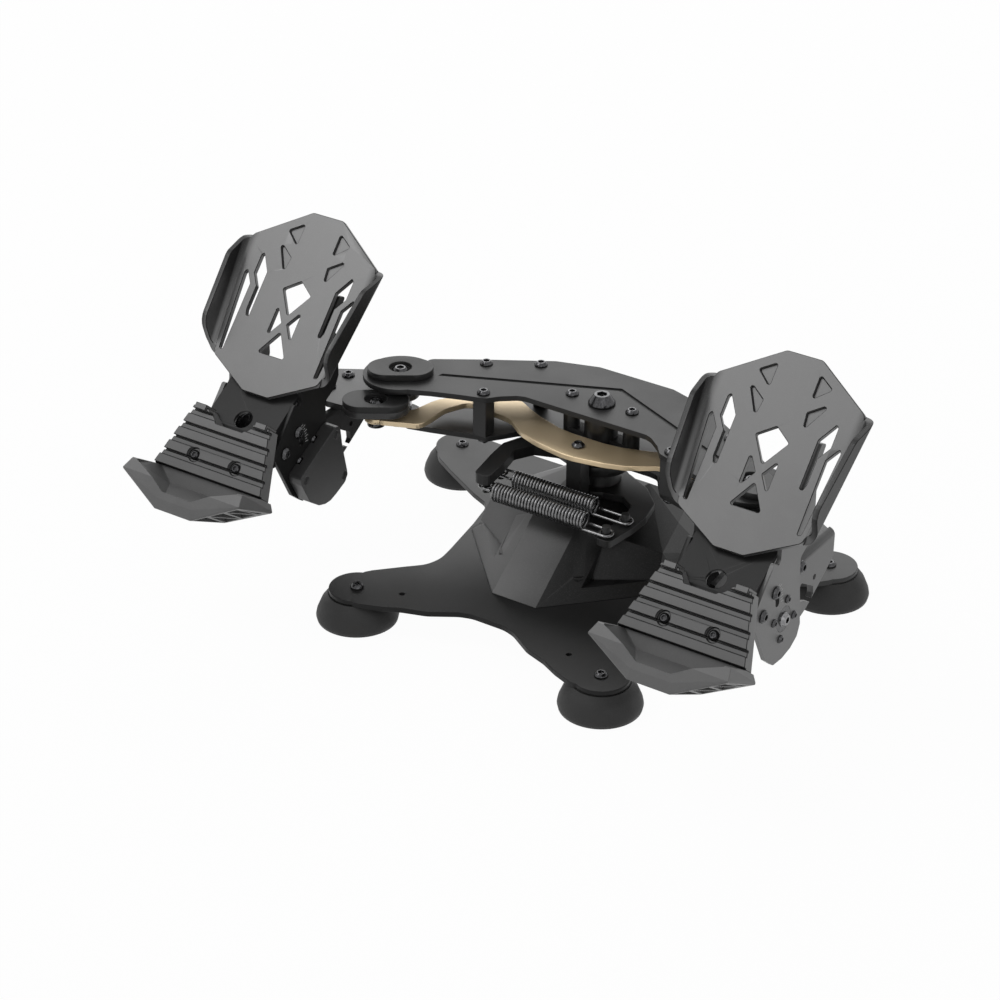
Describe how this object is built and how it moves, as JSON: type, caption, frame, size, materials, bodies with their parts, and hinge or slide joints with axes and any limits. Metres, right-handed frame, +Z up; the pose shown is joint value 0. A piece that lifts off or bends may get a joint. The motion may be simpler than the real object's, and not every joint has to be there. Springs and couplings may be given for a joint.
{
  "type": "flight simulator rudder pedals",
  "caption": "Rudder pedals on a star-shaped base: a rocker beam and a parallel link carry pedals that move in opposite directions, and each pedal tips as a toe brake.",
  "frame": {"origin": "middle of the floor rectangle that the part covers, at floor level", "axes": "X along the width, so that the pedals lie on -X and +X; Y from the user to the back; Z up"},
  "size_m": [0.5034, 0.3317, 0.2504],
  "materials": {
    "black_coat": "satin black powder coat",
    "rubber": "matte black rubber",
    "black_bolts": "glossy black oxide",
    "bright_steel": "ground steel",
    "circuit_board": "board with solder mask",
    "grey_coat": "satin dark grey coat on cut and bent sheet",
    "grey_plastic": "fine-grained dark grey plastic",
    "gold_anodised": "champagne anodised",
    "spring_steel": "blackened spring wire"
  },
  "bodies": {
    "base": {"base_plate": "black_coat", "base_cover": "black_coat", "rubber_feet": "rubber", "base_screws": "black_bolts", "pivot_column": "black_coat", "column_bearings": "bright_steel", "link_post": "black_coat", "link_pivot_bolt": "black_bolts", "rudder_sensor": "circuit_board", "control_board": "circuit_board"},
    "rocker": {"rocker_top_plate": "grey_coat", "rocker_bottom_plate": "grey_coat", "rocker_standoffs": "grey_coat", "rocker_screws": "black_bolts", "pivot_hub": "grey_coat", "pivot_shaft": "bright_steel", "pivot_bolt": "black_bolts", "rocker_end_pads": "grey_plastic", "end_pivot_bolts": "black_bolts"},
    "link": {"steering_link": "gold_anodised"},
    "left_arm": {"left_spring_arm": "black_coat", "front_spring": "spring_steel", "rear_spring": "spring_steel"},
    "right_arm": {"right_spring_arm": "black_coat"},
    "left_carrier": {"left_carrier_plate": "grey_coat", "left_carrier_bracket": "grey_coat", "left_link_pad": "grey_plastic", "left_link_pin": "black_bolts", "left_carrier_bearing": "bright_steel", "left_carrier_screws": "black_bolts", "left_brake_axle": "black_bolts"},
    "right_carrier": {"right_carrier_plate": "grey_coat", "right_carrier_bracket": "grey_coat", "right_link_pad": "grey_plastic", "right_link_pin": "black_bolts", "right_carrier_bearing": "bright_steel", "right_carrier_screws": "black_bolts", "right_brake_axle": "black_bolts"},
    "left_pedal": {"left_toe_plate": "grey_coat", "left_outer_arm": "grey_coat", "left_inner_arm": "grey_coat", "left_brake_bearings": "black_bolts", "left_heel_bracket": "grey_coat", "left_heel_pad": "grey_plastic", "left_heel_tray": "grey_plastic", "left_sensor_housing": "grey_plastic", "left_brake_spring": "spring_steel", "left_pedal_screws": "black_bolts"},
    "right_pedal": {"right_toe_plate": "grey_coat", "right_outer_arm": "grey_coat", "right_inner_arm": "grey_coat", "right_brake_bearings": "black_bolts", "right_heel_bracket": "grey_coat", "right_heel_pad": "grey_plastic", "right_heel_tray": "grey_plastic", "right_sensor_housing": "grey_plastic", "right_brake_spring": "spring_steel", "right_pedal_screws": "black_bolts"}
  },
  "joints": [
    {"name": "rudder_turn", "type": "hinge", "parent": "base", "child": "rocker", "pos_m": [0, 0.0827, 0.096], "axis": [0, 0, 1], "range_deg": [-16, 16], "stiffness_Nm_per_rad": 4},
    {"name": "link_turn", "type": "hinge", "parent": "base", "child": "link", "pos_m": [0, 0.0524, 0.109], "axis": [0, 0, 1], "range_deg": [-16, 16]},
    {"name": "left_carrier_turn", "type": "hinge", "parent": "rocker", "child": "left_carrier", "pos_m": [-0.1448, 0.0412, 0.115], "axis": [0, 0, 1], "range_deg": [-16, 16]},
    {"name": "right_carrier_turn", "type": "hinge", "parent": "rocker", "child": "right_carrier", "pos_m": [0.1448, 0.0412, 0.115], "axis": [0, 0, 1], "range_deg": [-16, 16]},
    {"name": "left_toe_brake", "type": "hinge", "parent": "left_carrier", "child": "left_pedal", "pos_m": [-0.19, -0.0495, 0.09931], "axis": [-1, 0, 0], "range_deg": [0, 10], "stiffness_Nm_per_rad": 20, "springref_deg": -2.86},
    {"name": "right_toe_brake", "type": "hinge", "parent": "right_carrier", "child": "right_pedal", "pos_m": [0.19, -0.0495, 0.09931], "axis": [-1, 0, 0], "range_deg": [0, 10], "stiffness_Nm_per_rad": 20, "springref_deg": -2.86},
    {"name": "left_arm_turn", "type": "hinge", "parent": "base", "child": "left_arm", "pos_m": [0, 0.0827, 0.088], "axis": [0, 0, 1], "range_deg": [-16, 0], "stiffness_Nm_per_rad": 1, "springref_deg": 1.15, "deforming": ["front_spring", "rear_spring"]},
    {"name": "right_arm_turn", "type": "hinge", "parent": "base", "child": "right_arm", "pos_m": [0, 0.0827, 0.07], "axis": [0, 0, 1], "range_deg": [0, 16], "stiffness_Nm_per_rad": 1, "springref_deg": -1.15}
  ],
  "couplings": [
    {"joint": "link_turn", "follows": "rudder_turn", "ratio": 1},
    {"joint": "left_carrier_turn", "follows": "rudder_turn", "ratio": -1},
    {"joint": "right_carrier_turn", "follows": "rudder_turn", "ratio": -1}
  ]
}
